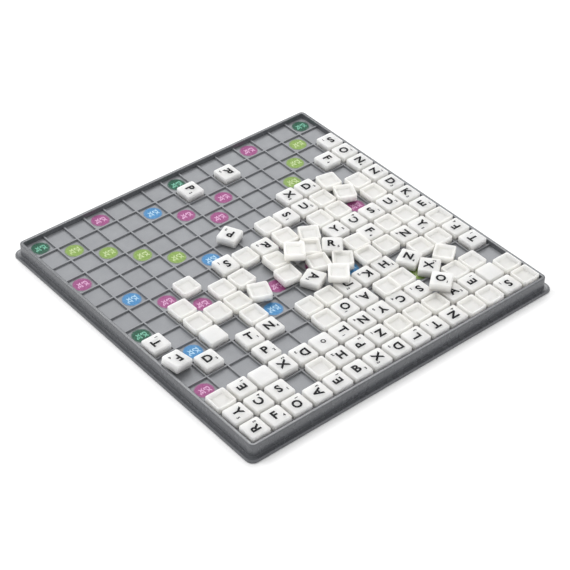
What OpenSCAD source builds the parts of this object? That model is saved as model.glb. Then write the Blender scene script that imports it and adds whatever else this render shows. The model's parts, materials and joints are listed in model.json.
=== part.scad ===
// Travel word tile game: a square moulded tray with a ribbed 15 by 15 grid,
// printed round bonus marks on its floor, and small hollow letter tiles.
// Frame: origin at the centre of the tray's underside, +Z up, millimetres.

/* [Grid] */
// Number of cells along each side
cells = 15; // [15:1:15]
// Distance between cell centres
pitch = 15; // [14:0.5:18]
// Width of the raised ribs between cells
rib_w = 1.0; // [0.6:0.1:1.4]
// Height of the ribs above the tray floor
rib_h = 1.4; // [1.0:0.1:2.0]

/* [Tray] */
// Height of the tray floor's upper face above the table
floor_top = 6.35; // [5.5:0.05:8]
// Thickness of the moulded floor
floor_t = 1.8; // [1.2:0.1:2.4]
// Height of the rim above the tray floor
rim_h = 3.7; // [3:0.1:6]
// Thickness of the rim wall
rim_t = 2.2; // [1.8:0.1:3]
// Outer corner radius of the rim
rim_corner_r = 3.0; // [1.5:0.5:5]
// Inner corner radius of the well
well_corner_r = 0.9; // [0.5:0.1:2]
// Bevel along the rim's top edges
rim_bevel = 0.45; // [0.2:0.05:0.8]
// Height of the flange where it meets the wall
flange_high = 2.8; // [2.4:0.1:4]
// Height of the flange at its outer edge
flange_low = 1.4; // [1:0.1:2]
// How far the flange stands out beyond the wall
flange_out = 3.2; // [2:0.1:5]
// Outer corner radius of the flange
flange_corner_r = 5.0; // [3:0.5:8]
// Thickness of the skirt around the hollow underside
skirt_t = 1.8; // [1.2:0.1:2.4]

/* [Bonus marks] */
// Diameter of a printed bonus mark
mark_d = 12.2; // [8:0.1:13]
// Thickness of a printed mark
mark_t = 0.12; // [0.1:0.02:0.2]

/* [Tiles] */
// Side play of a tile in its cell
tile_play = 0.5; // [0.45:0.05:0.9]
// Thickness of a tile
tile_h = 5.3; // [4.5:0.1:6]
// Corner radius of a tile in plan
tile_corner_r = 1.2; // [0.6:0.1:2]
// Bevel around the lettered face
face_bevel = 0.6; // [0.3:0.05:0.9]
// Bevel around the open face
open_bevel = 0.35; // [0.2:0.05:0.6]
// Width of the lip around the open side
lip_w = 1.0; // [1:0.05:2]
// How far the pocket's sides lean in
pocket_lean = 1.3; // [0.5:0.1:1.5]
// Depth of the pocket
pocket_d = 2.1; // [1.5:0.1:3.5]
// Gap under a tile at rest
rest_gap = 0.1; // [0.05:0.05:0.2]

/* [Hidden] */
well = cells * pitch;
wall_out = well + 2 * rim_t;
flange_w = wall_out + 2 * flange_out;
rim_top = floor_top + rim_h;
rib_top = floor_top + rib_h;
// width across the square of ribs around all but the outer cells
grid_w = well - 2 * pitch + rib_w;
tile_w = pitch - rib_w - 2 * tile_play;
mid = (cells - 1) / 2;
cut = 1;

// heights of the underside of a tile lying in a cell, on ribs,
// on a tile in a cell, and on a tile that lies on ribs
z_cell = floor_top + mark_t + rest_gap;
z_ribs = rib_top + rest_gap;
z_on_cell = z_cell + tile_h + 2 * rest_gap;
z_on_loose = z_ribs + tile_h + 2 * rest_gap;
// how much higher than the rib, or the rim, the raised edge of a leaning tile stands
edge_lift = 0.5;
rim_lift = 0.3;

// bonus marks on one eighth of the board, as [column, row] from its centre
green_at = [[7, 7], [7, 0]];
lime_at = [[6, 6], [5, 5], [4, 4], [3, 3], [0, 0]];
blue_at = [[6, 2], [2, 2]];
magenta_at = [[7, 4], [5, 1], [4, 0], [1, 1]];

// tiles lying in their cells: [column from the left, row from the back,
// and for a tile that lies off centre its shift as a share of the side play, and its turn]
up_00 = [[0, 8], [0, 13], [0, 14]];
down_00 = [[0, 12]];
up_01 = [[1, 10], [1, 12], [1, 13], [1, 14]];
up_02 = [[2, 9], [2, 12], [2, 13], [2, 14]];
down_02 = [[2, 7], [2, 8]];
up_03 = [[3, 10, 0, 0, -4.5], [3, 11], [3, 12], [3, 14]];
down_03 = [[3, 6], [3, 8]];
up_04 = [[4, 10], [4, 12], [4, 14]];
down_04 = [[4, 7], [4, 8], [4, 9], [4, 13]];
up_05 = [[5, 12], [5, 13], [5, 14]];
down_05 = [[5, 7, 0, 0, 3]];
up_06 = [[6, 12], [6, 13], [6, 14]];
down_06 = [[6, 6], [6, 10], [6, 11]];
up_07 = [[7, 1], [7, 6], [7, 11], [7, 12], [7, 13], [7, 14]];
down_07 = [[7, 10]];
up_08 = [[8, 10], [8, 11], [8, 12], [8, 14]];
down_08 = [[8, 5], [8, 13]];
up_09 = [[9, 1], [9, 5], [9, 10, 0, 0, 3], [9, 12], [9, 14]];
down_09 = [[9, 13]];
up_10 = [[10, 4], [10, 5], [10, 7], [10, 10, 0, -0.8, 0], [10, 12], [10, 14]];
down_10 = [[10, 6], [10, 11, 0.8, 0, 0], [10, 13]];
up_11 = [[11, 4], [11, 7], [11, 8], [11, 13]];
down_11 = [[11, 5], [11, 6], [11, 9], [11, 14]];
up_12 = [[12, 7], [12, 9], [12, 13]];
down_12 = [[12, 8], [12, 10, 0, 0.4, -2], [12, 12, 0.8, -0.8, 0], [12, 14]];
up_13 = [[13, 3], [13, 7], [13, 9], [13, 13], [13, 14]];
down_13 = [[13, 5], [13, 6], [13, 8], [13, 10], [13, 12]];
up_14 = [[14, 2], [14, 3], [14, 4], [14, 5], [14, 6], [14, 7], [14, 8], [14, 10], [14, 11]];
down_14 = [[14, 9], [14, 13], [14, 14]];

// a square with round corners, centred
module round_square(side, r) {
    union() {
        square([side, side - 2 * r], center = true);
        square([side - 2 * r, side], center = true);
        for (sx = [-1, 1], sy = [-1, 1])
            translate([sx * (side / 2 - r), sy * (side / 2 - r)])
                circle(r = r, $fn = 48);
    }
}

// a bar whose cross-section is the given outline, centred on its length;
// crossing two of them gives a block that is bevelled on all four sides
module bar(outline, len) {
    translate([0, len / 2, 0])
        rotate([90, 0, 0])
            linear_extrude(height = len)
                polygon(outline);
}

module crossed(outline, len) {
    intersection() {
        bar(outline, len);
        rotate([0, 0, 90]) bar(outline, len);
    }
}

// the tray's shell: rim wall, floor and sloping flange
module tray_body() {
    w = flange_w / 2;
    s = wall_out / 2;
    flange_line = [[-w, 0], [w, 0], [w, flange_low], [s, flange_high], [-s, flange_high],
        [-w, flange_low]];
    wall_line = [[-s, 0], [s, 0], [s, rim_top - rim_bevel], [s - rim_bevel, rim_top],
        [-s + rim_bevel, rim_top], [-s, rim_top - rim_bevel]];
    union() {
        intersection() {
            linear_extrude(height = flange_high)
                round_square(flange_w, flange_corner_r);
            crossed(flange_line, flange_w + cut);
        }
        intersection() {
            linear_extrude(height = rim_top)
                round_square(wall_out, rim_corner_r);
            crossed(wall_line, wall_out + cut);
        }
    }
}

module ribs() {
    cell = pitch - rib_w;
    translate([0, 0, floor_top])
        linear_extrude(height = rib_h)
            difference() {
                square(grid_w, center = true);
                for (u = [1 : cells - 2], v = [1 : cells - 2])
                    translate([(u - mid) * pitch, (v - mid) * pitch])
                        square(cell, center = true);
            }
    // stubs that run from the outer cells' ribs to the rim
    for (k = [1 : cells - 1], side = [-1, 1])
        for (turn = [0, 90])
            rotate([0, 0, turn])
                translate([(k - cells / 2) * pitch - rib_w / 2,
                    side > 0 ? grid_w / 2 : -well / 2, floor_top])
                    cube([rib_w, (well - grid_w) / 2, rib_h]);
}

module board_tray() {
    t = well / 2;
    flare = [[-t, rim_top - rim_bevel], [t, rim_top - rim_bevel], [t + rim_bevel + cut, rim_top + cut],
        [-t - rim_bevel - cut, rim_top + cut]];
    color("#8b8d91") {
        difference() {
            tray_body();
            translate([0, 0, floor_top])
                linear_extrude(height = rim_h + cut)
                    round_square(well, well_corner_r);
            crossed(flare, well + 2 * rim_t);
            translate([0, 0, -cut])
                linear_extrude(height = floor_top - floor_t + cut)
                    round_square(wall_out - 2 * skirt_t, rim_corner_r - skirt_t / 2);
        }
        ribs();
    }
}

// round marks at every place that mirrors the listed ones
module marks(places, tint) {
    color(tint)
        translate([0, 0, floor_top])
            for (p = places)
                for (q = p[0] == p[1] ? [p] : [p, [p[1], p[0]]])
                    for (sx = q[0] == 0 ? [1] : [-1, 1], sy = q[1] == 0 ? [1] : [-1, 1])
                        translate([sx * q[0] * pitch, sy * q[1] * pitch, 0])
                            cylinder(h = mark_t, d = mark_d, $fn = 48);
}

// one tile, lettered face up, its open side down, standing on z = 0
module tile_up() {
    w = tile_w / 2;
    a = w - lip_w;
    b = a - pocket_lean;
    side_line = [[-w + open_bevel, 0], [w - open_bevel, 0], [w, open_bevel],
        [w, tile_h - face_bevel], [w - face_bevel, tile_h], [-w + face_bevel, tile_h],
        [-w, tile_h - face_bevel], [-w, open_bevel]];
    rise = pocket_lean * cut / pocket_d;
    pocket_line = [[-a - rise, -cut], [a + rise, -cut], [b, pocket_d], [-b, pocket_d]];
    difference() {
        intersection() {
            linear_extrude(height = tile_h)
                round_square(tile_w, tile_corner_r);
            crossed(side_line, tile_w + cut);
        }
        crossed(pocket_line, tile_w + cut);
    }
}

module tile_down() {
    translate([0, 0, tile_h])
        rotate([180, 0, 0])
            tile_up();
}

// tiles in their cells
module seated(places, face_up) {
    color(face_up ? "#f4f3ee" : "#ece9df")
        for (p = places)
            translate([(p[0] - mid) * pitch + (len(p) > 2 ? p[2] * tile_play : 0),
                (mid - p[1]) * pitch + (len(p) > 2 ? p[3] * tile_play : 0), z_cell])
                rotate([0, 0, len(p) > 4 ? p[4] : 0])
                    if (face_up) tile_up();
                    else tile_down();
}

// a tile that lies across the cells: place in cells from the board's centre,
// height of its underside, turn in plan, and lean about the board's Y axis
module loose(x, y, z, turn, face_up, lean_y = 0, lean_x = 0) {
    color(face_up ? "#f4f3ee" : "#ece9df")
        translate([x * pitch, y * pitch, z])
            rotate([lean_x, lean_y, 0])
                rotate([0, 0, turn])
                    if (face_up) tile_up();
                    else tile_down();
}

// height of a leaning tile's middle when one edge stands at low and the other at high
function between(low, high) = (low + high) / 2;
// lean that lifts one edge of a tile from low to high
function lean(low, high) = asin((high - low) / tile_w);

board_tray();
marks(green_at, "#1f7f5a");  // marks_green
marks(lime_at, "#a5c850");  // marks_lime
marks(magenta_at, "#c04f98");  // marks_magenta
marks(blue_at, "#4a9cd8");  // marks_blue
seated(up_00, true);
seated(down_00, false);
seated(up_01, true);
seated(up_02, true);
seated(down_02, false);
seated(up_03, true);
seated(down_03, false);
seated(up_04, true);
seated(down_04, false);
seated(up_05, true);
seated(down_05, false);
seated(up_06, true);
seated(down_06, false);
seated(up_07, true);
seated(down_07, false);
seated(up_08, true);
seated(down_08, false);
seated(up_09, true);
seated(down_09, false);
seated(up_10, true);
seated(down_10, false);
seated(up_11, true);
seated(down_11, false);
seated(up_12, true);
seated(down_12, false);
seated(up_13, true);
seated(down_13, false);
seated(up_14, true);
seated(down_14, false);
loose(-0.685, 2.432, z_ribs, 26, true);  // loose_01
loose(-1.995, 1.06, between(z_cell, z_ribs + rest_gap), 0, true, 0, lean(z_cell, z_ribs + rest_gap));  // loose_02
loose(-1.989, -1.117, z_ribs, -22, false);  // loose_03
loose(-0.244, -0.02, between(z_cell, z_ribs + edge_lift), 0, false, lean(z_cell, z_ribs + edge_lift));  // loose_04
loose(-0.449, -1.017, z_ribs, -5, false);  // loose_05
loose(1.033, 0.921, z_ribs, -6.3, false);  // loose_06
loose(0.47, -0.345, z_on_loose, -36, false);  // loose_07
loose(1.934, 0.45, z_ribs, -29.7, false);  // loose_08
loose(1.373, -0.275, z_ribs, -33, false);  // loose_09
loose(2.168, -0.74, z_ribs, -40, true);  // loose_10
loose(1.925, -1.675, z_ribs, -37.2, false);  // loose_11
loose(1.017, -2.45, z_on_cell, -39.9, false);  // loose_12
loose(1.033, -1.2, z_ribs, -17.9, false);  // loose_13
loose(0.184, -1.866, z_ribs, 27.2, true);  // loose_14
loose(3.087, -1.215, z_ribs, -3, false);  // loose_15
loose(2.885, -2.12, z_ribs, -3, false);  // loose_16
loose(4.028, -3.341, z_ribs, 26.8, true);  // loose_17
loose(4.33, -4.24, z_ribs, 40, true);  // loose_18
loose(3.831, -5.435, z_on_cell, 38, true);  // loose_19
loose(5.409, -3.976, z_ribs, 36, false);  // loose_20
loose(2.121, -4.112, z_ribs, -1.4, false);  // loose_21
loose(4.961, 2.721, z_ribs, -12, false);  // loose_22
loose(4.978, 1.677, z_ribs, -25, false);  // loose_23
loose(-7.08, -2.37, between(z_ribs, rim_top + rim_lift), 10, true, lean(z_ribs, rim_top + rim_lift));  // loose_24
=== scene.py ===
"""Looks of a travel word tile tray: a moulded grey tray with 15 x 15 cells, printed round
marks, and white plastic tiles that lie in its cells and in a loose heap. Lengths in the
settings are real lengths; the model's frame has +X and +Y along the tray's sides, +Z up."""
import json
import math

import bmesh
import bpy
from bpy.props import FloatProperty, IntProperty, PointerProperty
from mathutils import Euler, Matrix, Vector


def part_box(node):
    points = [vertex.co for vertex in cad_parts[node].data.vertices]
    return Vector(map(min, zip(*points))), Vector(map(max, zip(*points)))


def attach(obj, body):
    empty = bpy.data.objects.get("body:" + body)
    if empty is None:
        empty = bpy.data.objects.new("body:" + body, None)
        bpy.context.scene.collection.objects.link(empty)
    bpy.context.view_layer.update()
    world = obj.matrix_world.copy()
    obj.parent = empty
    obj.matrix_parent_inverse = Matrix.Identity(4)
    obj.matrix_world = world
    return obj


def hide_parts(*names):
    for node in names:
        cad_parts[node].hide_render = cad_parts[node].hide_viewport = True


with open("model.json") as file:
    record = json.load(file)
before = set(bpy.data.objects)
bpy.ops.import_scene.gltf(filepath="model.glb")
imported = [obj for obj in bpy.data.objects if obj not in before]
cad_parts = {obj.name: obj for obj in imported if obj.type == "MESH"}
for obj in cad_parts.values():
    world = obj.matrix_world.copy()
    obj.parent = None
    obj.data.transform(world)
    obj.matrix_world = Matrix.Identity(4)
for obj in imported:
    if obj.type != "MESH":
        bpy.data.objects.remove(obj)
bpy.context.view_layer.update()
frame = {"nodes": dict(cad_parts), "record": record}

bl_info = {
    "name": "Word Tile Tray",
    "version": (1, 0, 0),
    "blender": (4, 5, 0),
    "location": "View3D > Sidebar > Word Tiles",
    "description": "Builds the tray, its marks, the tiles and the studio round them",
    "category": "Object",
}

MM = 0.001
CELLS = 15
MID = (CELLS - 1) / 2
POLYSTYRENE_IOR = 1.59
# The flange's shallow channel and the bead along its edge, in mm: distance in from the edge, and
# how far below the plain slope
FLANGE_EDGE = ((1.3, 0.42), (1.05, 0.22), (0.82, -0.05), (0.6, -0.18), (0.38, -0.12), (0.15, 0.15), (0.0, 0.55))
# Each mark's ink, dark and light, and the dark and light of the pale ink of its figures.
MARK_INKS = {
    "green": ("#003f2b", "#02553d", "#4f9d82", "#86c0aa"),
    "lime": ("#708e3e", "#8ba852", "#a6bd79", "#c6d3a8"),
    "blue": ("#3375ac", "#4a8dbe", "#8fb9d6", "#b6d2e4"),
    "magenta": ("#87396f", "#a05085", "#bf85ae", "#dbb0cf"),
}
# Tiles in the cells, one line for each column from the left. "row:code", rows from the back.
# A number is a lettered face and the turn of its letter from the tray's back; B is a blank
# face, D is a tile that lies with its open side up, s is a face with a small ring on it.
SEATS = [
    "8:90 12:D 13:270 14:90",
    "10:0 12:90 13:90 14:0",
    "7:D 8:D 9:B 12:B 13:0 14:90",
    "6:D 8:D 10:0 11:0 12:90 14:90",
    "7:D 8:D 9:D 10:0 12:180 13:D 14:90",
    "7:D 12:s 13:180 14:0",
    "6:D 10:D 11:D 12:270 13:90 14:270",
    "1:270 6:180 10:D 11:270 12:180 13:180 14:180",
    "5:D 10:270 11:180 12:180 13:D 14:90",
    "1:180 5:270 10:180 12:180 13:D 14:180",
    "4:270 5:0 6:D 7:0 10:0 11:D 12:180 13:D 14:90",
    "4:0 5:D 6:D 7:90 8:270 9:D 13:0 14:D",
    "7:0 8:D 9:180 10:D 12:D 13:90 14:D",
    "3:270 5:D 6:D 7:0 8:D 9:270 10:D 12:D 13:B 14:180",
    "2:180 3:0 4:270 5:0 6:270 7:270 8:0 9:D 10:90 11:90 13:D 14:D",
]
# Tiles that lie off their cell's centre: shift as a share of the side play, and turn
OFF_CENTRE = {
    (3, 10): (0, 0, -4.5), (5, 7): (0, 0, 3), (9, 10): (0, 0, 3), (10, 10): (0, -0.8, 0),
    (10, 11): (0.8, 0, 0), (12, 10): (0, 0.4, -2), (12, 12): (0.8, -0.8, 0),
}
# Loose tiles: number, place in cells from the centre, what it lies on, turn, and the letter's
# turn on the face ("B" for a blank face, "D" for open side up). The levels are worked out in loose_tiles.
LOOSE = [
    (1, -0.685, 2.432, "ribs", 26, 90), (2, -1.995, 1.06, "cell to rib, x", 0, 180),
    (3, -1.989, -1.117, "ribs", -22, "D"), (4, -0.244, -0.02, "cell to rib, y", 0, "D"),
    (5, -0.449, -1.017, "ribs", -5, "D"), (6, 1.033, 0.921, "ribs", -6.3, "D"),
    (7, 0.47, -0.345, "loose tile", -36, "D"), (8, 1.934, 0.45, "ribs", -29.7, "D"),
    (9, 1.373, -0.275, "ribs", -33, "D"), (10, 2.168, -0.74, "ribs", -40, 0),
    (11, 1.925, -1.675, "ribs", -37.2, "D"), (12, 1.017, -2.45, "seated tile", -39.9, "D"),
    (13, 1.033, -1.2, "ribs", -17.9, "D"), (14, 0.184, -1.866, "ribs", 27.2, 180),
    (15, 3.087, -1.215, "ribs", -3, "D"), (16, 2.885, -2.12, "ribs", -3, "D"),
    (17, 4.028, -3.341, "ribs", 26.8, 270), (18, 4.33, -4.24, "ribs", 40, 0),
    (19, 3.831, -5.435, "seated tile", 38, 270), (20, 5.409, -3.976, "ribs", 36, "D"),
    (21, 2.121, -4.112, "ribs", -1.4, "D"), (22, 4.961, 2.721, "ribs", -12, "D"),
    (23, 4.978, 1.677, "ribs", -25, "D"), (24, -7.08, -2.37, "rib to rim, y", 10, 180),
]
# Letters in a plain order that spells nothing, and the small number for each
LETTERS = "OKTAHNEPYBZCXRSDFUL"
POINTS = (1, 2, 1, 3, 2, 4, 1, 2, 5, 3, 1, 4, 2, 5, 1, 3, 4, 2, 3)
# Round marks on one eighth of the board in cells from its centre, and the number printed
MARKS = {
    "green": ("3", ((7, 7), (7, 0))),
    "lime": ("2", ((6, 6), (5, 5), (4, 4), (3, 3), (0, 0))),
    "blue": ("2", ((6, 2), (2, 2))),
    "magenta": ("3", ((7, 4), (5, 1), (4, 0), (1, 1))),
}


def length(name, value, about):
    return FloatProperty(name=name, default=value * MM, description=about, unit="LENGTH")


class WORDTRAY_PG_tray(bpy.types.PropertyGroup):
    pitch: length("Cell pitch", 15, "Distance from cell to cell")
    rib_w: length("Rib width", 1.0, "Width of a rib between two cells")
    rib_h: length("Rib height", 1.4, "Height of a rib above the floor of the cells")
    rib_round: length("Rib rounding", 0.12, "Rounding along the top of a rib")
    floor_top: length("Floor level", 6.35, "Height of the cells' floor above the table")
    floor_t: length("Floor thickness", 1.8, "Thickness of the tray under the cells")
    rim_h: length("Rim height", 3.7, "Height of the rim above the cells' floor")
    rim_t: length("Rim thickness", 2.2, "Thickness of the rim's wall")
    rim_r: length("Rim corner", 3.0, "Radius of the rim's outer corners in plan")
    well_r: length("Well corner", 0.9, "Radius of the well's corners in plan")
    flange_high: length("Flange at wall", 2.8, "Height of the flange where it meets the wall")
    flange_low: length("Flange at edge", 1.4, "Height of the flange at its outer edge")
    flange_out: length("Flange width", 3.2, "How far the flange stands out from the wall")
    flange_r: length("Flange corner", 5.0, "Radius of the flange's corners in plan")
    skirt_t: length("Skirt thickness", 1.8, "Thickness of the skirt round the underside")


class WORDTRAY_PG_tile(bpy.types.PropertyGroup):
    side: length("Side", 13.0, "Width of a tile")
    height: length("Height", 5.3, "Height of a tile")
    corner: length("Corner", 1.2, "Radius of a tile's corners in plan")
    face_round: length("Face rounding", 0.8, "Rounding between a tile's face and its sides")
    lip: length("Lip", 1.0, "Width of the lip round the open side")
    pocket_d: length("Pocket depth", 2.1, "Depth of the pocket in the open side")
    pocket_lean: length("Pocket lean", 1.3, "How far the pocket's sides lean in")
    play: length("Side play", 0.5, "Gap between a tile and the ribs beside it")
    rest_gap: length("Rest gap", 0.1, "Gap under a tile at rest")
    edge_lift: length("Edge lift", 0.5, "How far a leaning tile's raised edge stands over a rib")
    rim_lift: length("Rim lift", 0.3, "How far a leaning tile's raised edge stands over the rim")


class WORDTRAY_PG_print(bpy.types.PropertyGroup):
    letter_h: length("Letter height", 6.0, "Height of a tile's capital letter")
    number_h: length("Number height", 2.1, "Height of the small number on a tile")
    mark_number_h: length("Mark print height", 7.6, "Height of the two rows of figures on a round mark")
    ring_d: length("Ring", 3.2, "Diameter of the small ring on one tile")
    ink: length("Ink", 0.02, "How far printed ink stands above its surface")
    mark_t: length("Mark thickness", 0.12, "Height of a round mark above the floor")
    bold: FloatProperty(name="Boldness", default=0.036, description="Share of a letter's height added to its strokes")


class WORDTRAY_PG_studio(bpy.types.PropertyGroup):
    sky: FloatProperty(name="Sky", default=0.62, description="Strength of the light from all round")
    back: FloatProperty(name="Back lamp", default=36.0, description="Power of the large lamp above and behind, in watts")
    left: FloatProperty(name="Left lamp", default=17.0, description="Power of the lamp behind and to the left, in watts")
    seed: IntProperty(name="Seed", default=7, description="Seed of the small differences between tiles")


def settings():
    return bpy.context.scene.word_tray


class WORDTRAY_PG_all(bpy.types.PropertyGroup):
    tray: PointerProperty(type=WORDTRAY_PG_tray)
    tile: PointerProperty(type=WORDTRAY_PG_tile)
    ink: PointerProperty(type=WORDTRAY_PG_print)
    studio: PointerProperty(type=WORDTRAY_PG_studio)


# Geometry helpers


def square_ring(half, radius, z, steps):
    """Points of a square with round corners, counter-clockwise, at one height."""
    points = []
    for corner in range(4):
        a = corner * math.pi / 2
        cx = (half - radius) * (1 if corner in (0, 3) else -1)
        cy = (half - radius) * (1 if corner in (0, 1) else -1)
        for i in range(steps + 1):
            t = a + i * math.pi / 2 / steps
            points.append((cx + radius * math.cos(t), cy + radius * math.sin(t), z))
    return points


def loft(profile, steps):
    """A closed mesh through square rings given as (half width, corner radius, height)."""
    bm = bmesh.new()
    rings = [[bm.verts.new(p) for p in square_ring(h, r, z, steps)] for h, r, z in profile]
    for a, b in zip(rings, rings[1:]):
        for i in range(len(a)):
            j = (i + 1) % len(a)
            bm.faces.new((a[i], a[j], b[j], b[i]))
    bm.faces.new(rings[0])
    bm.faces.new(rings[-1])
    bmesh.ops.recalc_face_normals(bm, faces=bm.faces)
    return bm


def arc(h0, z0, h1, z1, bulge, steps=4):
    """Points of a quarter round from one profile point to another; bulge is the corner."""
    points = []
    for i in range(steps + 1):
        t = i / steps
        a, b, c = (1 - t) ** 2, 2 * t * (1 - t) * 0.83, t ** 2
        s = a + b + c
        points.append(((a * h0 + b * bulge[0] + c * h1) / s, (a * z0 + b * bulge[1] + c * z1) / s))
    return points


def new_object(name, mesh):
    obj = bpy.data.objects.new(name, mesh)
    bpy.context.scene.collection.objects.link(obj)
    return obj


def from_bmesh(name, bm, material, smooth_angle=40):
    mesh = bpy.data.meshes.new(name)
    bm.to_mesh(mesh)
    bm.free()
    mesh.materials.append(material)
    shade(mesh, smooth_angle)
    return new_object(name, mesh)


def shade(mesh, angle):
    mesh.shade_smooth()
    mesh.set_sharp_from_angle(angle=math.radians(angle))


def body_of(node):
    for body, nodes in frame["record"]["behaviour"]["bodies"].items():
        if node in nodes:
            return body
    raise RuntimeError(f"no body holds {node}")


def check_place(obj, node, slack=0.25 * MM):
    """Stops the script if a piece isn't where the CAD node that it replaces is."""
    low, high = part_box(node)
    for axis in range(3):
        values = [v.co[axis] for v in obj.data.vertices]
        if abs(min(values) - low[axis]) > slack or abs(max(values) - high[axis]) > slack:
            raise RuntimeError(
                f"{obj.name} isn't where {node} is, axis {axis}: "
                f"{min(values):.5f}..{max(values):.5f} and {low[axis]:.5f}..{high[axis]:.5f}")


# Material helpers


def colour(code):
    """A linear colour from an sRGB hex code."""
    parts = [int(code[i:i + 2], 16) / 255 for i in (1, 3, 5)]
    return tuple(c / 12.92 if c <= 0.04045 else ((c + 0.055) / 1.055) ** 2.4 for c in parts) + (1.0,)


def add_node(tree, kind, links=None, **values):
    """Adds a node, sets its properties and inputs by name, and links its inputs."""
    node = tree.nodes.new(kind)
    for key, value in values.items():
        if hasattr(node, key):
            setattr(node, key, value)
        else:
            node.inputs[key.replace("_", " ")].default_value = value
    for key, source in (links or {}).items():
        tree.links.new(source, node.inputs[key])
    return node


def new_material(name):
    material = bpy.data.materials.get(name)
    if material:
        return material, None
    material = bpy.data.materials.new(name)
    material.use_nodes = True
    tree = material.node_tree
    tree.nodes.clear()
    return material, tree


def finish_material(tree, shader):
    out = add_node(tree, "ShaderNodeOutputMaterial")
    tree.links.new(shader.outputs[0], out.inputs["Surface"])


def mix_colours(tree, factor, a, b):
    node = add_node(tree, "ShaderNodeMix", data_type="RGBA")
    for key, value in ((0, factor), (6, a), (7, b)):
        if isinstance(value, bpy.types.NodeSocket):
            tree.links.new(value, node.inputs[key])
        else:
            node.inputs[key].default_value = value
    return node.outputs[2]


def noise(tree, place, size, detail=3.0, roughness=0.5):
    """Noise whose lumps are about size metres across."""
    node = add_node(tree, "ShaderNodeTexNoise", {"Vector": place}, Scale=1 / size, Detail=detail, Roughness=roughness)
    return node.outputs["Fac"]


def spread(tree, value, low, high, to_low=0.0, to_high=1.0):
    node = add_node(tree, "ShaderNodeMapRange", {"Value": value})
    for key, number in (("From Min", low), ("From Max", high), ("To Min", to_low), ("To Max", to_high)):
        node.inputs[key].default_value = number
    return node.outputs[0]


def grey_plastic(name, light, dark, speck, rough, grain_size, grain_depth):
    """Grey moulded polystyrene: slow cloudy patches and a fine grain from the mould."""
    material, tree = new_material(name)
    if tree is None:
        return material
    place = add_node(tree, "ShaderNodeTexCoord").outputs["Object"]
    clouds = noise(tree, place, 22 * MM, 4.0, 0.6)
    specks = noise(tree, place, 0.7 * MM, 2.0)
    base = mix_colours(tree, spread(tree, clouds, 0.3, 0.7), colour(dark), colour(light))
    base = mix_colours(tree, spread(tree, specks, 0.35, 0.75, 0.0, 0.3), base, colour(speck))
    smooth = spread(tree, noise(tree, place, 5 * MM), 0.3, 0.7, rough - 0.05, rough + 0.06)
    grain = noise(tree, place, grain_size, 3.0, 0.6)
    bump = add_node(tree, "ShaderNodeBump", {"Height": grain}, Strength=0.25, Distance=grain_depth)
    shader = add_node(tree, "ShaderNodeBsdfPrincipled", {"Base Color": base, "Roughness": smooth, "Normal": bump.outputs[0]})
    shader.inputs["IOR"].default_value = POLYSTYRENE_IOR
    finish_material(tree, shader)
    return material


def cell_plastic():
    """The cells' floor, eroded matt in the mould, in a paler copy of the tray's grey: the paleness is painted sheen,
    light that the floor and the ribs catch.
    """
    return grey_plastic("grey_polystyrene_matt_painted_sheen", "#898b8f", "#818387", "#727478", 0.5, 0.35 * MM, 0.06 * MM)


def rim_plastic():
    """Rim, flange and ribs, from the polished part of the mould, with a satin sheen: the tray's own darker grey, next
    to the floor's copy painted paler with sheen.
    """
    return grey_plastic("grey_polystyrene_satin", "#64666a", "#5d5f63", "#525458", 0.26, 0.6 * MM, 0.01 * MM)


def tile_plastic(name, light, shade_code, rough):
    """White injection-moulded polystyrene: a soft sheen, faint flow clouds, and each tile a
    touch warmer or cooler than the next through its tile_tint."""
    material, tree = new_material(name)
    if tree is None:
        return material
    place = add_node(tree, "ShaderNodeTexCoord").outputs["Object"]
    tint = add_node(tree, "ShaderNodeAttribute", attribute_name="tile_tint").outputs["Fac"]
    clouds = noise(tree, place, 4 * MM, 3.0, 0.5)
    cloudy, tinted = spread(tree, clouds, 0.3, 0.7, 0.0, 0.45), spread(tree, tint, 0, 1, 0.0, 0.55)
    tone = add_node(tree, "ShaderNodeMath", {0: cloudy, 1: tinted}, operation="ADD")
    base = mix_colours(tree, tone.outputs[0], colour(light), colour(shade_code))
    smooth = spread(tree, noise(tree, place, 2.5 * MM), 0.3, 0.7, rough - 0.05, rough + 0.07)
    grain = noise(tree, place, 0.5 * MM, 2.0)
    bump = add_node(tree, "ShaderNodeBump", {"Height": grain}, Strength=0.12, Distance=0.00004)
    shader = add_node(tree, "ShaderNodeBsdfPrincipled", {"Base Color": base, "Roughness": smooth, "Normal": bump.outputs[0]})
    shader.inputs["IOR"].default_value = POLYSTYRENE_IOR
    shader.inputs["Specular IOR Level"].default_value = 0.3
    shader.inputs["Subsurface Weight"].default_value = 1.0
    shader.inputs["Subsurface Scale"].default_value = 0.014
    shader.inputs["Subsurface Radius"].default_value = (1.0, 1.0, 1.0)
    finish_material(tree, shader)
    return material


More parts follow.
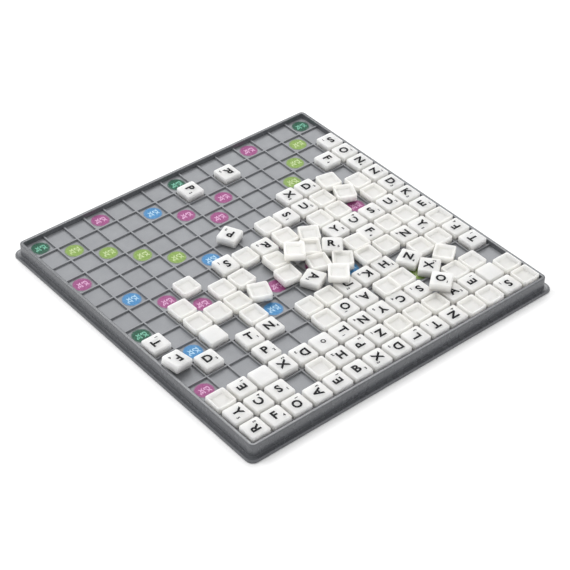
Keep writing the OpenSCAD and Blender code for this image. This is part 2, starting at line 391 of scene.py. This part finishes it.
def printed_ink(name, dark, light, rough=0.5, sheen=0.4, pitch=None):
    """Pad-printed ink that lies thinly on the moulding, so it is a little uneven. With a cell
    pitch, the ink also thins out raggedly towards the edge of its round mark."""
    material, tree = new_material(name)
    if tree is None:
        return material
    place = add_node(tree, "ShaderNodeTexCoord").outputs["Object"]
    blots = noise(tree, place, 1.6 * MM, 4.0, 0.65)
    base = mix_colours(tree, spread(tree, blots, 0.32, 0.7), colour(dark), colour(light))
    if pitch:
        cell = place
        steps = (("MULTIPLY", 1 / pitch), ("ADD", 0.5), ("FRACTION", None), ("SUBTRACT", 0.5), ("MULTIPLY", pitch / MM))
        for kind, by in steps:
            node = add_node(tree, "ShaderNodeVectorMath", {0: cell}, operation=kind)
            if by is not None:
                node.inputs[1].default_value = (by, by, 0)
            cell = node.outputs[0]
        out = add_node(tree, "ShaderNodeVectorMath", {0: cell}, operation="LENGTH").outputs["Value"]
        ragged = spread(tree, noise(tree, place, 0.8 * MM, 4.0, 0.7), 0.3, 0.7, -0.7, 0.7)
        out = add_node(tree, "ShaderNodeMath", {0: out, 1: ragged}, operation="ADD").outputs[0]
        base = mix_colours(tree, spread(tree, out, 5.2, 6.2, 0.0, 0.75), base, colour("#84868a"))
        # Pinholes in the ink where the plastic shows, painted a paler grey than the floor plastic, which adds painted
        # sheen.
        pinholes_and_sheen = spread(tree, noise(tree, place, 0.45 * MM, 3.0, 0.6), 0.56, 0.74, 0.0, 0.5)
        base = mix_colours(tree, pinholes_and_sheen, base, colour("#a4a6a8"))
    smooth = spread(tree, noise(tree, place, 0.6 * MM), 0.3, 0.7, rough - 0.08, rough + 0.08)
    grain = noise(tree, place, 0.3 * MM, 2.0)
    bump = add_node(tree, "ShaderNodeBump", {"Height": grain}, Strength=0.2, Distance=0.00004)
    shader = add_node(tree, "ShaderNodeBsdfPrincipled", {"Base Color": base, "Roughness": smooth, "Normal": bump.outputs[0]})
    shader.inputs["Specular IOR Level"].default_value = sheen
    finish_material(tree, shader)
    return material


def face_plastic():
    return tile_plastic("white_polystyrene_face", "#fcfaf5", "#f7f4ed", 0.4)


def open_plastic():
    # A warmer copy of the tile plastic for the tiles that lie open side up: painted light, to warm the shade in their
    # pockets.
    return tile_plastic("warm_polystyrene_open_side_painted_light", "#fdfaf2", "#f8f4e9", 0.45)


def letter_ink():
    return printed_ink("black_printed_ink", "#0d0d0f", "#19191c", 0.6, 0.15)


# Tray


def tray_profile(t):
    """The tray's section, from the middle of the cells' floor over the rim and the flange
    to the middle of the underside, as (half width, corner radius, height)."""
    well = CELLS * t.pitch / 2
    wall = well + t.rim_t
    edge = wall + t.flange_out
    top = t.floor_top + t.rim_h
    skirt = wall - t.skirt_t
    r = 0.55 * MM
    small = 0.12 * MM
    profile = [(well - 0.5 * MM, t.well_r * 0.6, t.floor_top), (well - 0.12 * MM, t.well_r * 0.9, t.floor_top + small)]
    profile.append((well, t.well_r, t.floor_top + 0.5 * MM))
    for h, z in arc(well, top - r, well + r, top, (well, top)):
        profile.append((h, t.well_r + (h - well), z))
    for h, z in arc(wall - r * 1.3, top, wall, top - r * 1.3, (wall, top)):
        profile.append((h, t.rim_r - (wall - h) * 0.6, z))
    fall = (t.flange_low - t.flange_high) / t.flange_out
    low = t.flange_high - 1.25 * MM
    line = [(wall, low + 0.15 * MM), (wall + 0.12 * MM, low), (wall + 0.35 * MM, low - 0.03 * MM)]
    for back, drop in FLANGE_EDGE:
        h = edge - back * MM
        line.append((h, t.flange_high + (h - wall) * fall - drop * MM))
    for h, z in line:
        profile.append((h, t.rim_r + (h - wall) * (t.flange_r - t.rim_r) / t.flange_out, z))
    for h, z in arc(edge, 0.3 * MM, edge - 0.3 * MM, 0, (edge, 0), 2):
        profile.append((h, t.flange_r - (edge - h), z))
    ceiling = t.floor_top - t.floor_t
    inner_r = t.rim_r - t.skirt_t / 2
    for h, z in arc(skirt + 0.3 * MM, 0, skirt, 0.3 * MM, (skirt, 0), 2):
        profile.append((h, inner_r + (h - skirt), z))
    for h, z in arc(skirt, ceiling - 0.4 * MM, skirt - 0.4 * MM, ceiling, (skirt, ceiling), 3):
        profile.append((h, inner_r - (skirt - h), z))
    return profile


class WORDTRAY_OT_tray(bpy.types.Operator):
    """Build the tray's moulding: floor, rim, flange and hollow underside"""
    bl_idname = "wordtray.tray"
    bl_label = "Tray moulding"

    def execute(self, context):
        t = settings().tray
        bm = loft(tray_profile(t), 8)
        bm.normal_update()
        # The floor faces take the paler copy with painted sheen; the rest takes the tray's own darker grey.
        matt_painted_sheen_from, matt_painted_sheen_to = t.floor_top - 0.1 * MM, t.floor_top + 0.3 * MM
        for face in bm.faces:
            face.material_index = 0 if max(v.co.z for v in face.verts) < matt_painted_sheen_to and face.normal.z > 0.5 \
                and face.calc_center_median().z > matt_painted_sheen_from else 1
        tray = from_bmesh("tray_moulding", bm, cell_plastic(), 35)
        tray.data.materials.append(rim_plastic())
        check_place(tray, "board_tray")
        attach(tray, "tray")
        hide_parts("board_tray")
        return {"FINISHED"}


def rib_grid(t):
    """Crossing ribs with rounded tops as one closed mesh, sunk a little into floor and rim."""
    sink = 0.2 * MM
    low = t.floor_top - sink
    high = t.floor_top + t.rib_h
    half, r = t.rib_w / 2, t.rib_round
    section = [(-half, low), (-half * 0.98, high - r), (-half + r * 0.35, high - r * 0.3), (-half + r, high),
               (half - r, high), (half - r * 0.35, high - r * 0.3), (half * 0.98, high - r), (half, low)]
    end = CELLS * t.pitch / 2 + sink
    lines = [(-end, None)]
    for k in range(1, CELLS):
        lines += [((k - CELLS / 2) * t.pitch + d, z) for d, z in section]
    lines.append((end, None))
    bm = bmesh.new()
    tops, lows = {}, {}

    def vertex(store, i, j, z):
        if (i, j) not in store:
            store[i, j] = bm.verts.new((lines[i][0], lines[j][0], z))
        return store[i, j]

    def corner(i, j):
        z = max(lines[i][1] or low, lines[j][1] or low)
        top = vertex(tops, i, j, z)
        return (top, top) if z <= low + 1e-9 and on_edge(i, j) else (top, vertex(lows, i, j, low))

    def in_band(i):
        return 0 < i < len(lines) - 2 and (i - 1) % len(section) < len(section) - 1

    def on_edge(i, j):
        around = [in_band(a) or in_band(b) for a in (i - 1, i) for b in (j - 1, j)]
        return not all(around)

    size = len(lines)
    for i in range(size - 1):
        for j in range(size - 1):
            if not (in_band(i) or in_band(j)):
                continue
            corners = [corner(a, b) for a, b in ((i, j), (i + 1, j), (i + 1, j + 1), (i, j + 1))]
            bm.faces.new([c[0] for c in corners])
            bm.faces.new([c[1] for c in reversed(corners)])
    # close the ribs' ends inside the rim
    bmesh.ops.holes_fill(bm, edges=[e for e in bm.edges if e.is_boundary], sides=0)
    bmesh.ops.recalc_face_normals(bm, faces=bm.faces)
    return bm


class WORDTRAY_OT_ribs(bpy.types.Operator):
    """Build the ribs that divide the tray's floor into cells"""
    bl_idname = "wordtray.ribs"
    bl_label = "Cell ribs"

    def execute(self, context):
        bm = rib_grid(settings().tray)
        bm.normal_update()
        for face in bm.faces:
            # Rib tops and sides take the paler copy, painted lighter for the light on the ribs; the rounded edges take
            # the tray's own darker grey.
            face.material_index = 0 if face.normal.z > 0.6 or abs(face.normal.z) < 0.3 else 1
        ribs = from_bmesh("tray_ribs", bm, cell_plastic(), 35)
        ribs.data.materials.append(rim_plastic())
        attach(ribs, "tray")
        return {"FINISHED"}


# Tiles


def tile_profile(t):
    """A tile's section from the middle of its pocket round the lip and over the face,
    as (half width, corner radius, height), face up with the open side on z = 0."""
    w = t.side / 2
    mouth = w - t.lip
    inner = mouth - t.pocket_lean
    r = 0.45 * MM
    profile = []
    for h, z in arc(inner - r, t.pocket_d, inner + r * 0.37, t.pocket_d - r, (inner, t.pocket_d), 3):
        profile.append((h, 0.35 * t.corner + max(h - inner + r, 0) * 0.5, z))
    r = 0.3 * MM
    for h, z in arc(mouth - r * 0.3, r, mouth + r, 0, (mouth, 0), 3):
        profile.append((h, 0.8 * t.corner, z))
    r = 0.4 * MM
    for h, z in arc(w - r, 0, w, r, (w, 0), 3):
        profile.append((h, t.corner - (w - h) * 0.4, z))
    r = t.face_round
    for h, z in arc(w, t.height - r, w - r, t.height, (w, t.height), 4):
        profile.append((h, t.corner - (w - h) * 0.35, z))
    return profile


def tile_template():
    """The one tile that all the others are copies of; it isn't linked to the scene."""
    mesh = bpy.data.meshes.get("tile_template")
    if mesh is None:
        bm = loft(tile_profile(settings().tile), 3)
        mesh = bpy.data.meshes.new("tile_template")
        bm.to_mesh(mesh)
        bm.free()
        shade(mesh, 60)
    return bpy.data.objects.get("tile_template") or bpy.data.objects.new("tile_template", mesh)


def copies_group():
    """Geometry Nodes: a copy of the tile on each point, turned by the point's own turn, with a
    small random tint of its own."""
    group = bpy.data.node_groups.get("Tiles on points")
    if group:
        return group
    group = bpy.data.node_groups.new("Tiles on points", "GeometryNodeTree")
    for name, kind in (("Points", "NodeSocketGeometry"), ("Tile", "NodeSocketObject"),
                       ("Plastic", "NodeSocketMaterial"), ("Seed", "NodeSocketInt")):
        group.interface.new_socket(name=name, in_out="INPUT", socket_type=kind)
    group.interface.new_socket(name="Tiles", in_out="OUTPUT", socket_type="NodeSocketGeometry")
    given = add_node(group, "NodeGroupInput").outputs
    random = add_node(group, "FunctionNodeRandomValue", {"Seed": given["Seed"]}, data_type="FLOAT")
    points = add_node(group, "GeometryNodeMeshToPoints", {"Mesh": given["Points"]})
    tinted = add_node(group, "GeometryNodeStoreNamedAttribute", {"Geometry": points.outputs[0], "Value": random.outputs[1]},
                      data_type="FLOAT", domain="POINT")
    tinted.inputs["Name"].default_value = "tile_tint"
    turn = add_node(group, "GeometryNodeInputNamedAttribute", data_type="FLOAT_VECTOR")
    turn.inputs["Name"].default_value = "turn"
    rotation = add_node(group, "FunctionNodeEulerToRotation", {0: turn.outputs["Attribute"]})
    tile = add_node(group, "GeometryNodeObjectInfo", {"Object": given["Tile"]})
    copies = add_node(group, "GeometryNodeInstanceOnPoints", {
        "Points": tinted.outputs[0], "Instance": tile.outputs["Geometry"], "Rotation": rotation.outputs[0]})
    real = add_node(group, "GeometryNodeRealizeInstances", {"Geometry": copies.outputs[0]})
    painted = add_node(group, "GeometryNodeSetMaterial", {"Geometry": real.outputs[0], "Material": given["Plastic"]})
    out = add_node(group, "NodeGroupOutput")
    group.links.new(painted.outputs[0], out.inputs[0])
    return group


def place_copies(name, places, material, seed):
    """One mesh object with a tile at each place, given as matrices."""
    mesh = bpy.data.meshes.new(name)
    mesh.from_pydata([tuple(m.to_translation()) for m in places], [], [])
    turns = mesh.attributes.new("turn", "FLOAT_VECTOR", "POINT")
    for i, m in enumerate(places):
        turns.data[i].vector = tuple(m.to_euler())
    source = new_object(name + "_points", mesh)
    group = copies_group()
    modifier = source.modifiers.new("Tiles", "NODES")
    modifier.node_group = group
    values = {"Tile": tile_template(), "Plastic": material, "Seed": seed}
    for item in group.interface.items_tree:
        if item.in_out == "INPUT" and item.name in values:
            modifier[item.identifier] = values[item.name]
    depsgraph = bpy.context.evaluated_depsgraph_get()
    result = bpy.data.meshes.new_from_object(source.evaluated_get(depsgraph), depsgraph=depsgraph)
    bpy.data.objects.remove(source)
    result.name = name
    return new_object(name, result)


def tile_matrix(x, y, z, turn, face_up, lean_x=0.0, lean_y=0.0):
    """Where a tile's open side is taken to: place, lean, turn, and over if it lies open side up."""
    t = settings().tile
    place = Matrix.Translation((x, y, z)) @ Euler((math.radians(lean_x), math.radians(lean_y), 0)).to_matrix().to_4x4()
    place = place @ Matrix.Rotation(math.radians(turn), 4, "Z")
    if not face_up:
        place = place @ Matrix.Translation((0, 0, t.height)) @ Matrix.Rotation(math.pi, 4, "X")
    return place


def seated_tiles():
    """For each column: (row, code, matrix) of its tiles."""
    t, p = settings().tile, settings().tray.pitch
    z = settings().tray.floor_top + settings().ink.mark_t + t.rest_gap
    columns = []
    for u, line in enumerate(SEATS):
        tiles = []
        for item in line.split():
            v, code = item.split(":")
            dx, dy, turn = OFF_CENTRE.get((u, int(v)), (0, 0, 0))
            x, y = (u - MID) * p + dx * t.play, (MID - int(v)) * p + dy * t.play
            tiles.append((int(v), code, tile_matrix(x, y, z, turn, code != "D")))
        columns.append(tiles)
    return columns


def loose_tiles():
    """(number, code, matrix) of the tiles that lie across the cells."""
    t, tray = settings().tile, settings().tray
    cell = tray.floor_top + settings().ink.mark_t + t.rest_gap
    ribs = tray.floor_top + tray.rib_h + t.rest_gap
    rim = tray.floor_top + tray.rim_h
    levels = {
        "ribs": (ribs, ribs, None),
        "cell to rib, x": (cell, ribs + t.rest_gap, "x"),
        "cell to rib, y": (cell, ribs + t.edge_lift, "y"),
        "rib to rim, y": (ribs, rim + t.rim_lift, "y"),
        "seated tile": (cell + t.height + 2 * t.rest_gap,) * 2 + (None,),
        "loose tile": (ribs + t.height + 2 * t.rest_gap,) * 2 + (None,),
    }
    tiles = []
    for number, x, y, level, turn, code in LOOSE:
        low, high, axis = levels[level]
        lean = math.degrees(math.asin((high - low) / t.side))
        leans = {"lean_x": lean if axis == "x" else 0.0, "lean_y": lean if axis == "y" else 0.0}
        place = tile_matrix(x * tray.pitch, y * tray.pitch, (low + high) / 2, turn, code != "D", **leans)
        tiles.append((number, code, place))
    return tiles


def tile_piece(name, node, places, face_up, seed):
    material = face_plastic() if face_up else open_plastic()
    piece = place_copies(name, places, material, seed)
    check_place(piece, node)
    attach(piece, body_of(node))
    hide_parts(node)


class WORDTRAY_OT_seated(bpy.types.Operator):
    """Build the tiles that lie in the tray's cells, by column"""
    bl_idname = "wordtray.seated"
    bl_label = "Tiles in the cells"

    def execute(self, context):
        for u, tiles in enumerate(seated_tiles()):
            for face_up, kind in ((True, "up"), (False, "down")):
                places = [m for v, code, m in tiles if (code != "D") == face_up]
                if places:
                    seed = settings().studio.seed + 2 * u + face_up
                    tile_piece(f"tiles_{kind}_{u:02}", f"{kind}_{u:02}", places, face_up, seed)
        return {"FINISHED"}


class WORDTRAY_OT_loose(bpy.types.Operator):
    """Build the loose tiles that lie across the cells and on one another"""
    bl_idname = "wordtray.loose"
    bl_label = "Loose tiles"

    def execute(self, context):
        for number, code, place in loose_tiles():
            seed = settings().studio.seed + 40 + number
            tile_piece(f"tile_loose_{number:02}", f"loose_{number:02}", [place], code != "D", seed)
        return {"FINISHED"}


# Printing


GLYPHS = {}


def glyph(text, height, ink):
    """A text as a thin closed mesh, centred, its capitals height tall, with z from -ink to ink."""
    key = (text, round(height, 6))
    if key not in GLYPHS:
        curve = bpy.data.curves.new("glyph", "FONT")
        curve.body = text
        curve.align_x = "CENTER"
        curve.space_line = 0.85
        curve.resolution_u = 3
        curve.offset = settings().ink.bold
        obj = new_object("glyph", curve)
        depsgraph = bpy.context.evaluated_depsgraph_get()
        mesh = bpy.data.meshes.new_from_object(obj.evaluated_get(depsgraph), depsgraph=depsgraph)
        bpy.data.objects.remove(obj)
        bm = bmesh.new()
        bm.from_mesh(mesh)
        bpy.data.meshes.remove(mesh)
        bmesh.ops.remove_doubles(bm, verts=bm.verts, dist=1e-5)
        bmesh.ops.dissolve_degenerate(bm, edges=bm.edges, dist=1e-5)
        low = min(v.co.y for v in bm.verts)
        high = max(v.co.y for v in bm.verts)
        left = min(v.co.x for v in bm.verts)
        right = max(v.co.x for v in bm.verts)
        scale = height / (high - low)
        for v in bm.verts:
            v.co = Vector(((v.co.x - (left + right) / 2) * scale, (v.co.y - (low + high) / 2) * scale, -ink))
        lift = bmesh.ops.extrude_face_region(bm, geom=bm.faces[:])
        for v in lift["geom"]:
            if isinstance(v, bmesh.types.BMVert):
                v.co.z = ink
        bmesh.ops.recalc_face_normals(bm, faces=bm.faces)
        mesh = bpy.data.meshes.new("glyph")
        bm.to_mesh(mesh)
        bm.free()
        GLYPHS[key] = mesh
    return GLYPHS[key]


def small_ring(diameter, ink):
    """A thin printed ring."""
    bm = bmesh.new()
    steps = 20
    rows = []
    for r, z in ((0.5, -ink), (0.5, ink), (0.3, ink), (0.3, -ink)):
        rows.append([bm.verts.new((diameter * r * math.cos(a), diameter * r * math.sin(a), z))
                     for a in (2 * math.pi * i / steps for i in range(steps))])
    for k in range(4):
        a, b = rows[k], rows[(k + 1) % 4]
        for i in range(steps):
            j = (i + 1) % steps
            bm.faces.new((a[i], a[j], b[j], b[i]))
    bmesh.ops.recalc_face_normals(bm, faces=bm.faces)
    mesh = bpy.data.meshes.new("ring")
    bm.to_mesh(mesh)
    bm.free()
    return mesh


def join_prints(name, prints, material, body):
    """One object of printed meshes, each taken to its place by a matrix."""
    bm = bmesh.new()
    for mesh, place in prints:
        first = len(bm.verts)
        bm.from_mesh(mesh)
        bm.verts.ensure_lookup_table()
        bmesh.ops.transform(bm, matrix=place, verts=bm.verts[first:])
    piece = from_bmesh(name, bm, material, 30)
    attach(piece, body)
    return piece


def letter_prints(index, code, place):
    """Meshes and places of the letter and the small number on a tile's face."""
    t, ink = settings().tile, settings().ink
    face = place @ Matrix.Translation((0, 0, t.height))
    if code == "s":
        return [(small_ring(ink.ring_d, ink.ink), face)]
    face = face @ Matrix.Rotation(math.radians(float(code)), 4, "Z")
    letter = glyph(LETTERS[index % len(LETTERS)], ink.letter_h, ink.ink)
    number = glyph(str(POINTS[index % len(POINTS)]), ink.number_h, ink.ink)
    return [
        (letter, face @ Matrix.Translation((-0.5 * MM, 0.4 * MM, 0))),
        (number, face @ Matrix.Translation((3.7 * MM, -2.5 * MM, 0))),
    ]


class WORDTRAY_OT_letters(bpy.types.Operator):
    """Print a letter and a small number on each tile that shows its lettered face"""
    bl_idname = "wordtray.letters"
    bl_label = "Printed letters"

    def execute(self, context):
        for u, tiles in enumerate(seated_tiles()):
            prints = []
            for v, code, place in tiles:
                if code not in ("D", "B"):
                    prints += letter_prints(3 * u + 5 * v, code, place)
            if prints:
                join_prints(f"print_up_{u:02}", prints, letter_ink(), body_of(f"up_{u:02}"))
        for number, code, place in loose_tiles():
            if code not in ("D", "B"):
                node = f"loose_{number:02}"
                join_prints(f"print_{node}", letter_prints(7 * number, code, place), letter_ink(), body_of(node))
        return {"FINISHED"}


def mark_places(eighth):
    """All the cells that mirror the listed ones, as (x, y) in cells from the centre."""
    places = set()
    for a, b in eighth:
        for p, q in ((a, b), (b, a)):
            places |= {(sx * p, sy * q) for sx in (1, -1) for sy in (1, -1)}
    return sorted(places)


class WORDTRAY_OT_marks(bpy.types.Operator):
    """Colour the round marks in the cells and print their plain numbers"""
    bl_idname = "wordtray.marks"
    bl_label = "Round marks"

    def execute(self, context):
        s = settings()
        taken = {(u - MID, MID - v) for u, tiles in enumerate(seated_tiles()) for v, code, m in tiles}
        z = s.tray.floor_top + s.ink.mark_t
        for name, (number, eighth) in MARKS.items():
            dark, light, pale, palest = MARK_INKS[name]
            disc = frame["nodes"]["marks_" + name]
            disc.data.materials.clear()
            ink = printed_ink(f"{name}_printed_ink", dark, light, 0.5, 0.25, s.tray.pitch)
            disc.data.materials.append(ink)
            mesh = glyph(f"{number}x\nx{number}", s.ink.mark_number_h, s.ink.ink)
            upright = Matrix.Rotation(math.pi / 2, 4, "Z")
            prints = [(mesh, Matrix.Translation((x * s.tray.pitch, y * s.tray.pitch, z)) @ upright)
                      for x, y in mark_places(eighth) if (x, y) not in taken]
            join_prints(f"print_marks_{name}", prints, printed_ink(f"pale_{name}_printed_ink", pale, palest, 0.5, 0.25), "tray")
        return {"FINISHED"}


# Studio


def look_matrix(target, azimuth, elevation, distance, roll):
    az, el, ro = (math.radians(a) for a in (azimuth, elevation, roll))
    back = Vector((math.sin(az) * math.cos(el), -math.cos(az) * math.cos(el), math.sin(el)))
    right = Vector((0, 0, 1)).cross(back).normalized()
    up = back.cross(right)
    x = right * math.cos(ro) + up * math.sin(ro)
    y = up * math.cos(ro) - right * math.sin(ro)
    matrix = Matrix((x, y, back)).transposed().to_4x4()
    matrix.translation = Vector(target) + back * distance
    return matrix


def area_lamp(name, at, target, size, power, tint):
    lamp = bpy.data.lights.new(name, "AREA")
    lamp.shape = "DISK"
    lamp.size = size
    lamp.energy = power
    lamp.color = tint
    obj = bpy.data.objects.new(name, lamp)
    bpy.context.scene.collection.objects.link(obj)
    obj.location = at
    obj.rotation_euler = (Vector(target) - Vector(at)).to_track_quat("-Z", "Y").to_euler()
    return obj


class WORDTRAY_OT_studio(bpy.types.Operator):
    """Set up the white floor, the soft lamps and the camera"""
    bl_idname = "wordtray.studio"
    bl_label = "Studio"

    def execute(self, context):
        scene, s = context.scene, settings().studio
        camera = bpy.data.cameras.new("camera")
        camera.lens = 110.95
        camera.sensor_width = 36
        camera.clip_start = 0.05
        view = bpy.data.objects.new("camera", camera)
        scene.collection.objects.link(view)
        view.matrix_world = look_matrix((-0.0111, -0.0180, 0.0072), -40.257, 39.703, 1.05766, 0.730)
        scene.camera = view

        mesh = bpy.data.meshes.new("studio_floor")
        mesh.from_pydata([(-3, -3, -0.0001), (3, -3, -0.0001), (3, 3, -0.0001), (-3, 3, -0.0001)], [], [(0, 1, 2, 3)])
        floor = new_object("studio_floor", mesh)
        # matt white paper sweep, even enough to vanish into the white behind it
        paper, tree = new_material("white_paper_sweep")
        if tree:
            place = add_node(tree, "ShaderNodeTexCoord").outputs["Object"]
            base = mix_colours(tree, noise(tree, place, 0.4), colour("#fdfdfd"), colour("#fefefe"))
            finish_material(tree, add_node(tree, "ShaderNodeBsdfDiffuse", {"Color": base}))
        mesh.materials.append(paper)

        world = bpy.data.worlds.new("studio")
        scene.world = world
        world.use_nodes = True
        tree = world.node_tree
        tree.nodes.clear()
        path = add_node(tree, "ShaderNodeLightPath").outputs
        seen = add_node(tree, "ShaderNodeMath", {0: path["Is Camera Ray"], 1: path["Is Glossy Ray"]}, operation="MAXIMUM")
        seen = add_node(tree, "ShaderNodeMath", {0: seen.outputs[0], 1: path["Is Transmission Ray"]}, operation="MAXIMUM")
        light = add_node(tree, "ShaderNodeBackground", Strength=s.sky)
        white = add_node(tree, "ShaderNodeBackground", Strength=1.0)
        for shader in (light, white):
            shader.inputs["Color"].default_value = (1, 1, 1, 1)
        mix = add_node(tree, "ShaderNodeMixShader", {0: seen.outputs[0], 1: light.outputs[0], 2: white.outputs[0]})
        out = add_node(tree, "ShaderNodeOutputWorld")
        tree.links.new(mix.outputs[0], out.inputs["Surface"])

        area_lamp("lamp_back", (0.89, 1.05, 2.2), (0, 0, 0), 1.8, s.back, (1, 1, 1))
        area_lamp("lamp_left", (-0.8, 1.55, 1.98), (0, 0, 0), 1.0, s.left, (1, 1, 1))
        scene.view_settings.view_transform = "Standard"
        return {"FINISHED"}


class WORDTRAY_PT_panel(bpy.types.Panel):
    """Buttons that build the tray piece by piece"""
    bl_idname = "WORDTRAY_PT_panel"
    bl_label = "Word Tile Tray"
    bl_space_type = "VIEW_3D"
    bl_region_type = "UI"
    bl_category = "Word Tiles"

    def draw(self, context):
        for step in STEPS:
            self.layout.operator(step.bl_idname)
        for group in ("tray", "tile", "ink", "studio"):
            box = self.layout.box()
            values = getattr(context.scene.word_tray, group)
            for name in values.bl_rna.properties.keys():
                if name not in ("rna_type", "name"):
                    box.prop(values, name)


STEPS = (
    WORDTRAY_OT_tray, WORDTRAY_OT_ribs, WORDTRAY_OT_marks, WORDTRAY_OT_seated,
    WORDTRAY_OT_loose, WORDTRAY_OT_letters, WORDTRAY_OT_studio,
)
CLASSES = (
    WORDTRAY_PG_tray, WORDTRAY_PG_tile, WORDTRAY_PG_print, WORDTRAY_PG_studio, WORDTRAY_PG_all,
) + STEPS + (WORDTRAY_PT_panel,)


def register():
    for cls in CLASSES:
        bpy.utils.register_class(cls)
    bpy.types.Scene.word_tray = PointerProperty(type=WORDTRAY_PG_all)


def unregister():
    del bpy.types.Scene.word_tray
    for cls in reversed(CLASSES):
        bpy.utils.unregister_class(cls)


def main():
    register()
    for step in STEPS:
        area, action = step.bl_idname.split(".")
        getattr(getattr(bpy.ops, area), action)()


if __name__ == "__main__":
    main()
